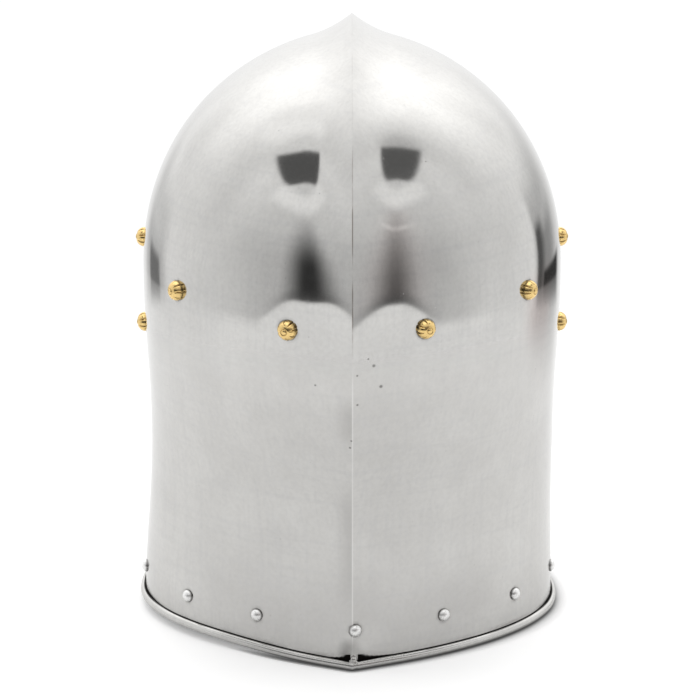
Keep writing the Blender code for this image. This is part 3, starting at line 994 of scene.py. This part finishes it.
def petal_ring(share, radius, height):
    """A ring of the flower head: share is its radius as a share of the head's."""

    def ring_at(angle):
        level = height * (1 - share**ROSETTE_FULLNESS) ** 0.5
        button = max(1 - (share / BUTTON_RADIUS) ** 2, 0.0) ** 0.5
        moat = math.exp(-(((share - MOAT_RADIUS) / MOAT_WIDTH) ** 2))
        level += height * (BUTTON_RISE * button - MOAT_DEPTH * moat)
        between = abs((angle * PETALS / (2 * math.pi)) % 1 - 0.5) * 2
        wedge = max(1 - (1 - between) / (0.08 + 0.20 * share), 0.0)
        wedge *= ease((share - PETAL_FROM) / 0.45)
        cut = 1 - PETAL_CUT * wedge
        return radius * share * cut, level * cut, max(moat, min(1.5 * wedge, 1.0))

    return ring_at


def under_head(radius, shank, tail):
    """The rings under a head: its flat underside, the shank through the sheet, and the peened tail."""
    tail_radius, tail_height = tail
    inside = -SHEET - 0.0002
    outline = [plain_ring(radius, 0), plain_ring(shank, 0), plain_ring(shank, inside)]
    for share in (1.0, 0.9, 0.7, 0.4, 0.0):
        outline.append(plain_ring(tail_radius * share, inside - tail_height * (1 - share**2) ** 0.5))
    return outline


rosette_shares = [0.0] + spread(0.06, 1.0, ROSETTE_RINGS)[:-1] + [0.985]
rosette_outline = [petal_ring(share, HEAD_RADIUS["brass"], ROSETTE_HEIGHT) for share in rosette_shares]
rosette_outline += under_head(0.93 * HEAD_RADIUS["brass"], ROSETTE_SHANK, ROSETTE_TAIL)
rosette_head = piece_from("rosette_head", turned(rosette_outline, 96))

ROUND_HEIGHT = 0.0026
ROUND_SHANK = 0.0013
ROUND_TAIL = (0.0021, 0.0009)
ROUND_RINGS = 14
round_outline = []
for fall in spread(0, math.pi / 2, ROUND_RINGS):
    radius, height = HEAD_RADIUS["steel"] * math.sin(fall), ROUND_HEIGHT * math.cos(fall)
    round_outline.append(plain_ring(radius, height, hollow=ease((fall - 1.0) / 0.5)))
round_outline += under_head(HEAD_RADIUS["steel"], ROUND_SHANK, ROUND_TAIL)[1:]
round_head = piece_from("round_head", turned(round_outline, 32))

# Puts a copy of one rivet at each place, square to the sheet and turned by chance.
set_rivets, given, put_out = new_tree(
    "set_rivets",
    "GeometryNodeTree",
    (
        ("Places", "NodeSocketGeometry", None),
        ("Rivet", "NodeSocketObject", None),
        ("Least size", "NodeSocketFloat", 0.97),
        ("Tilt", "NodeSocketFloat", 0.05),
        ("Seed", "NodeSocketInt", 0),
        ("Finish", "NodeSocketMaterial", None),
    ),
    (("Rivets", "NodeSocketGeometry"),),
)
outwards = {"Name": "outward"}
outwards = add(set_rivets, "GeometryNodeInputNamedAttribute", outwards, data_type="FLOAT_VECTOR").outputs[0]
wobble = add(set_rivets, "FunctionNodeRandomValue", {"Seed": given["Seed"]}, data_type="FLOAT_VECTOR")
wobble.inputs["Min"].default_value = (-1, -1, -1)
tilt = {0: outwards, 1: scaled(set_rivets, wobble.outputs[0], given["Tilt"])}
axis = add(set_rivets, "ShaderNodeVectorMath", tilt, operation="ADD").outputs[0]
upright_turn = add(set_rivets, "FunctionNodeAlignRotationToVector", {"Vector": axis}, axis="Z").outputs[0]
chance = {"Max": 2 * math.pi, "Seed": given["Seed"]}
chance = add(set_rivets, "FunctionNodeRandomValue", chance).outputs["Value"]
spin = add(set_rivets, "FunctionNodeAxisAngleToRotation", {"Angle": chance}).outputs[0]
set_turn = {"Rotation": upright_turn, "Rotate By": spin}
set_turn = add(set_rivets, "FunctionNodeRotateRotation", set_turn, rotation_space="LOCAL").outputs[0]
size = {"Min": given["Least size"], "Max": 1.0, "Seed": given["Seed"]}
size = add(set_rivets, "FunctionNodeRandomValue", size).outputs["Value"]
one_rivet = add(set_rivets, "GeometryNodeObjectInfo", {"Object": given["Rivet"]}).outputs["Geometry"]
copies = {"Points": given["Places"], "Instance": one_rivet, "Rotation": set_turn, "Scale": size}
copies = add(set_rivets, "GeometryNodeInstanceOnPoints", copies).outputs[0]
copies = add(set_rivets, "GeometryNodeRealizeInstances", {"Geometry": copies}).outputs[0]
copies = {"Geometry": copies, "Material": given["Finish"]}
copies = add(set_rivets, "GeometryNodeSetMaterial", copies).outputs[0]
set_rivets.links.new(copies, put_out["Rivets"])

# Brass: cast soft and stamped, bright on the petals and brown in the stamped lines
BRASS = (0.86, 0.62, 0.26, 1)
BRASS_SHADE = (0.22, 0.12, 0.04, 1)
brass, tree, surface, place = new_finish("brass")
hollow = add(tree, "ShaderNodeAttribute", attribute_name="hollow").outputs["Fac"]
worn = noise(tree, place, 900.0, 3.0)
patina_and_shade = math_node(tree, "MULTIPLY", hollow, 0.62)
tree.links.new(blend_colours(tree, patina_and_shade, BRASS, BRASS_SHADE), surface.inputs["Base Color"])
tree.links.new(math_node(tree, "MULTIPLY_ADD", worn, 0.12, 0.14), surface.inputs["Roughness"])
relief(tree, surface, (worn, 0.000015))

# Steel heads: closed with a snap, then polished with the skull, with painted shade round the foot of each
# head
BRIGHT = (0.90, 0.90, 0.89, 1)
bright, tree, surface, place = new_finish("bright_steel")
hollow = add(tree, "ShaderNodeAttribute", attribute_name="hollow").outputs["Fac"]
worn = noise(tree, place, 700.0, 3.0)
patina_and_shade = math_node(tree, "MULTIPLY", hollow, 0.75)
tree.links.new(blend_colours(tree, patina_and_shade, BRIGHT, SHADE_AND_GRIME), surface.inputs["Base Color"])
tree.links.new(math_node(tree, "MULTIPLY_ADD", worn, 0.16, 0.30), surface.inputs["Roughness"])
relief(tree, surface, (worn, 0.00002))

SINK = 0.00012
TILT = 0.03
for kind, name, slot, head, metal, seed in (
    ("brass", "brass_rosettes", "brass", rosette_head, brass, 4),
    ("steel", "steel_rivets", "bright_steel", round_head, bright, 2),
):
    seats, ways_out = [], []
    for which, seat, outward in rivet_places:
        if which == kind:
            seats.append(seat - outward * SINK)
            ways_out.extend(outward)
    holes = bpy.data.meshes.new(name)
    holes.from_pydata(seats, [], [])
    holes.attributes.new("outward", "FLOAT_VECTOR", "POINT").data.foreach_set("vector", ways_out)
    holes = piece_from(name, holes)
    rivets = worked(name, holes, set_rivets, rivet=head, seed=seed, tilt=TILT, finish=metal)
    rivets.data.shade_smooth()
    rivets.data.set_sharp_from_angle(angle=math.radians(50))
    bpy.data.objects.remove(head)
    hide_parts(*rivet_nodes[kind])
    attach(rivets, "root")


# ---- Studio --------------------------------------------------------------------------------
# A tent of white cloth round a table of white paper. Its side towards the camera is open, a
# frame stands on each side of the opening, and the paper runs down over the table's far edge.

PAPER_KEPT = 0.26
PAPER_GONE = 0.60
PAPER_LIFT = 0.22
CONTACT_SHADE = 0.003
CONTACT_WIDENS = 0.048
STEEL_GLOW = 0.05
GLOW_KEPT = 0.16
GLOW_GONE = 0.26
WHITE_PAPER = (0.94, 0.94, 0.94, 1)
SHADED_PAPER = (0.04, 0.04, 0.04, 1)
table_mesh = bmesh.new()
bmesh.ops.create_circle(table_mesh, cap_ends=True, segments=96, radius=PAPER_GONE)
table = piece_from("table", table_mesh)
paper, tree, surface, place = new_finish("white_paper", metallic=0.0)
from_middle = add(tree, "ShaderNodeVectorMath", {0: place}, operation="LENGTH").outputs["Value"]
surface.inputs["Roughness"].default_value = 0.9
tree.links.new(fade(tree, from_middle, PAPER_KEPT, PAPER_GONE), surface.inputs["Alpha"])
# Painted light and shade: the paper glows nearly white for the camera, for the light cloth and steel
# throw back at it, and is painted dark in the contact under the roll. That shade is narrow at the nape
# and on the left, and widens to the right.
to_right = math_node(tree, "MINIMUM", add(tree, "ShaderNodeSeparateXYZ", {0: place}).outputs[0], 0.0)
shade_reach = math_node(tree, "MULTIPLY_ADD", to_right, -CONTACT_WIDENS, CONTACT_SHADE)
open_share = add(tree, "ShaderNodeAmbientOcclusion", {"Distance": shade_reach}).outputs["AO"]
open_share = math_node(tree, "POWER", open_share, 2.0)
tree.links.new(blend_colours(tree, open_share, SHADED_PAPER, WHITE_PAPER), surface.inputs["Base Color"])
surface.inputs["Emission Color"].default_value = (1, 1, 1, 1)
to_camera = add(tree, "ShaderNodeLightPath").outputs["Is Camera Ray"]
lifted = product(tree, open_share, to_camera, PAPER_LIFT)
# Painted light: near the helmet the paper glows a little for every ray, for the light the steel throws back.
glow = product(tree, fade(tree, from_middle, GLOW_KEPT, GLOW_GONE), STEEL_GLOW)
tree.links.new(math_node(tree, "ADD", lifted, glow), surface.inputs["Emission Strength"])
table.data.materials.append(paper)

# Every direction in the tent is a turn from the opening, in degrees, and a height above level.
world = bpy.data.worlds.new("studio")
bpy.context.scene.world = world
world.use_nodes = True
tree = world.node_tree
direction = add(tree, "ShaderNodeTexCoord").outputs["Generated"]
to_side, to_back, upward = add(tree, "ShaderNodeSeparateXYZ", {0: direction}).outputs
around = math_node(tree, "ARCTAN2", math_node(tree, "ABSOLUTE", to_side), to_back)
around = math_node(tree, "DEGREES", around)
above = math_node(tree, "DEGREES", math_node(tree, "ARCSINE", upward))
on_left = math_node(tree, "GREATER_THAN", to_side, 0.0)
on_right = math_node(tree, "SUBTRACT", 1.0, on_left)


def soften_to(tree, light, share, level):
    """light, gone over to level by share."""
    sockets = {"Factor": share, "A": light, "B": level}
    return add(tree, "ShaderNodeMix", sockets, data_type="FLOAT").outputs[0]


def area(tree, strength, *edges):
    """A soft-edged part of the tent. Each edge is a direction, where it is full and where it ends."""
    return product(tree, strength, *(fade(tree, measure, full, none) for measure, full, none in edges))


# The cloth: brighter round to the back, and brightest high up behind
CLOTH_LIGHT = 0.60
CLOTH_GAINS = (
    # how much brighter, turn at which it starts and ends, height at which it starts and ends
    (0.25, (58, 96), None),
    (0.12, (92, 132), None),
    (-0.10, (138, 165), None),
    (0.25, (136, 158), (-12, 12)),
    (0.58, (92, 140), (6, 50)),
    (0.17, (96, 80), (6, 34)),
)
light = CLOTH_LIGHT
for gain, (turn_start, turn_end), rise in CLOTH_GAINS:
    gained = area(tree, gain, (around, turn_end, turn_start))
    if rise:
        gained = area(tree, gained, (above, rise[1], rise[0]))
    light = math_node(tree, "ADD", light, gained)

# What stands out from the cloth: each is a soft-edged patch of one brightness.
STUDIO_PATCHES = (
    # what, side, turn from and to, its softness, foot and top, its softness, brightness, foot's slope
    ("roof", "both", (-9, 189), 3, (64, 100), 7, 1.42, 0.0),
    ("light cloth, left", "left", (100, 124), 12, (47, 70), 5, 1.24, 0.0),
    ("high fold, right", "right", (84, 98), 7, (49, 62), 5, 0.64, 0.0),
    ("left frame", "left", (58, 90), 2.0, (42.4, 62), 1.2, 0.11, 0.33),
    ("right frame", "right", (58, 93), 2.5, (42.2, 62), 1.4, 0.13, 0.33),
    ("light strip", "both", (40, 73), 3, (33.5, 41.5), 2.5, 1.02, 0.0),
    ("door, right", "right", (-9, 54), 8, (-90, 33), 3, 0.42, 0.0),
    ("lamp bar", "right", (30, 60), 3, (23.6, 25.4), 1.0, 0.80, 0.0),
    ("fold, left", "left", (127, 158), 7, (-30, 0), 5, 0.72, 0.0),
    ("fold's foot, left", "left", (129, 155), 5, (-30, -9), 3, 0.56, 0.0),
    ("stand, left", "left", (134, 149), 2, (-30, -11.2), 1.2, 0.20, 0.0),
)
FRAME_TURN = 72
FRAME_CORNER = 69.5
CORNER_RISE = 0.85
FRAME_LEAN = 0.7
LEAN_HEIGHT = 48
sides = {"both": 1.0, "left": on_left, "right": on_right}
for _, side, (turn_from, turn_to), turn_soft, (foot, top), height_soft, level, slope in STUDIO_PATCHES:
    lowest, leaned = foot, around
    if slope:
        past = math_node(tree, "MAXIMUM", math_node(tree, "SUBTRACT", around, FRAME_TURN), 0.0)
        lowest = math_node(tree, "MULTIPLY_ADD", past, slope, foot)
        short = math_node(tree, "MAXIMUM", math_node(tree, "SUBTRACT", FRAME_CORNER, around), 0.0)
        lowest = math_node(tree, "MULTIPLY_ADD", short, CORNER_RISE, lowest)
        past = math_node(tree, "MAXIMUM", math_node(tree, "SUBTRACT", above, LEAN_HEIGHT), 0.0)
        leaned = math_node(tree, "MULTIPLY_ADD", past, FRAME_LEAN, around)
    over_foot = math_node(tree, "SUBTRACT", above, lowest)
    share = area(
        tree,
        sides[side],
        (around, turn_from + turn_soft, turn_from - turn_soft),
        (leaned, turn_to - turn_soft, turn_to + turn_soft),
        (over_foot, height_soft, -height_soft),
        (above, top - height_soft, top + height_soft),
    )
    light = soften_to(tree, light, share, level)

# The open side, dark down to the table: the room beyond it is darker on the left.
OPENINGS = (
    # side, turn at which it is open and shut, height at which it is open and shut, how bright
    (on_left, (49, 60), (9, 44), 0.035),
    (on_right, (46, 58), (-6, 46), 0.08),
)
for side, (open_turn, shut_turn), (open_height, shut_height), level in OPENINGS:
    share = area(tree, side, (around, open_turn, shut_turn), (above, open_height, shut_height))
    light = soften_to(tree, light, share, level)

# A grey stand on the right, behind: a pale sheet with a dark edge, on a dark foot
STAND = (
    # how bright, turn at which it starts, turn at which it ends, height at which it ends
    (0.56, (121, 126), (140, 172), (-2, 13)),
    (0.33, (127, 131), (140, 156), (-8, -3.5)),
    (0.10, (124.5, 126.5), (129, 137), (-5, -1)),
    (0.04, (131.5, 134), (152, 160), (-14, -12.8)),
)
for level, (outside_it, inside_it), (still_in, past_it), (below_top, over_top) in STAND:
    share = area(tree, on_right, (around, inside_it, outside_it), (around, still_in, past_it))
    light = soften_to(tree, light, area(tree, share, (above, below_top, over_top)), level)

# The table's far edge, lower where it is nearer, with the dark gap over it
RIM_AHEAD = (
    # height of the rim ahead, turn up to which it keeps it, turn at which it has fallen: left, right
    (-7.0, 52, 70),
    (-7.9, 48.5, 66),
)
RIM_ASIDE = -16.3
TABLE_LIGHT = 0.95
NEARER_LOSS = -0.10
STAND_SHADE = 0.64
GAP_LIGHT = 0.08
GAP_DEPTH = 0.55
rims = []
for ahead, level_to, falls_to in RIM_AHEAD:
    kept_level = fade(tree, around, level_to, falls_to)
    rims.append(math_node(tree, "MULTIPLY_ADD", kept_level, ahead - RIM_ASIDE, RIM_ASIDE))
rim = soften_to(tree, rims[0], on_right, rims[1])
over_rim = math_node(tree, "SUBTRACT", above, rim)
dark_gap = area(tree, GAP_DEPTH, (over_rim, 1, 6), (around, 50, 68))
light = soften_to(tree, light, dark_gap, GAP_LIGHT)
nearer = area(tree, NEARER_LOSS, (around, 62, 88), (above, -28, -14))
under_stand = area(tree, on_right, (around, 132, 114), (around, 144, 166), (above, -19, -26))
on_table = soften_to(tree, math_node(tree, "ADD", nearer, TABLE_LIGHT), under_stand, STAND_SHADE)
light = soften_to(tree, light, fade(tree, over_rim, -0.8, 0.8), on_table)

# The door and what stands low on the right are warm.
WARM = (1, 0.92, 0.91, 1)
door = area(tree, on_right, (around, 42, 66), (above, 28, 38), (over_rim, 4, 0))
low_right = area(tree, on_right, (around, 126, 110), (around, 134, 150), (above, -16, -26), (above, -17, -10))
warmth = math_node(tree, "MINIMUM", math_node(tree, "ADD", door, low_right), 1.0)
light = scaled(tree, blend_colours(tree, warmth, (1, 1, 1, 1), WARM), light)

# The camera itself sees plain white behind the table.
STUDIO_STRENGTH = 1.10
BACKDROP_STRENGTH = 1.05
tent = tree.nodes["Background"]
tent.inputs["Strength"].default_value = STUDIO_STRENGTH
tree.links.new(light, tent.inputs["Color"])
backdrop = {"Color": (1, 1, 1, 1), "Strength": BACKDROP_STRENGTH}
backdrop = add(tree, "ShaderNodeBackground", backdrop).outputs[0]
to_camera = add(tree, "ShaderNodeLightPath").outputs["Is Camera Ray"]
shown = add(tree, "ShaderNodeMixShader", {0: to_camera, 1: tent.outputs[0], 2: backdrop}).outputs[0]
tree.links.new(shown, tree.nodes["World Output"].inputs["Surface"])
bpy.context.scene.view_settings.view_transform = "Standard"

# The camera stands behind the helmet and looks down on it a little.
CAMERA_AZIMUTH = math.radians(179.9)
CAMERA_ELEVATION = math.radians(17)
CAMERA_DISTANCE = 2.0
CAMERA_LENS = 205
CAMERA_SHIFT = -0.003
AIM_HEIGHT = 0.1311
aim = Vector((0, ear_row, AIM_HEIGHT))
from_aim = Vector((math.sin(CAMERA_AZIMUTH), -math.cos(CAMERA_AZIMUTH), 0)) * math.cos(CAMERA_ELEVATION)
from_aim.z = math.sin(CAMERA_ELEVATION)
camera = bpy.data.objects.new("camera", bpy.data.cameras.new("camera"))
camera.data.lens = CAMERA_LENS
camera.data.shift_x = CAMERA_SHIFT
camera.location = aim + from_aim * CAMERA_DISTANCE
camera.rotation_euler = from_aim.to_track_quat("Z", "Y").to_euler()
bpy.context.collection.objects.link(camera)
bpy.context.scene.camera = camera
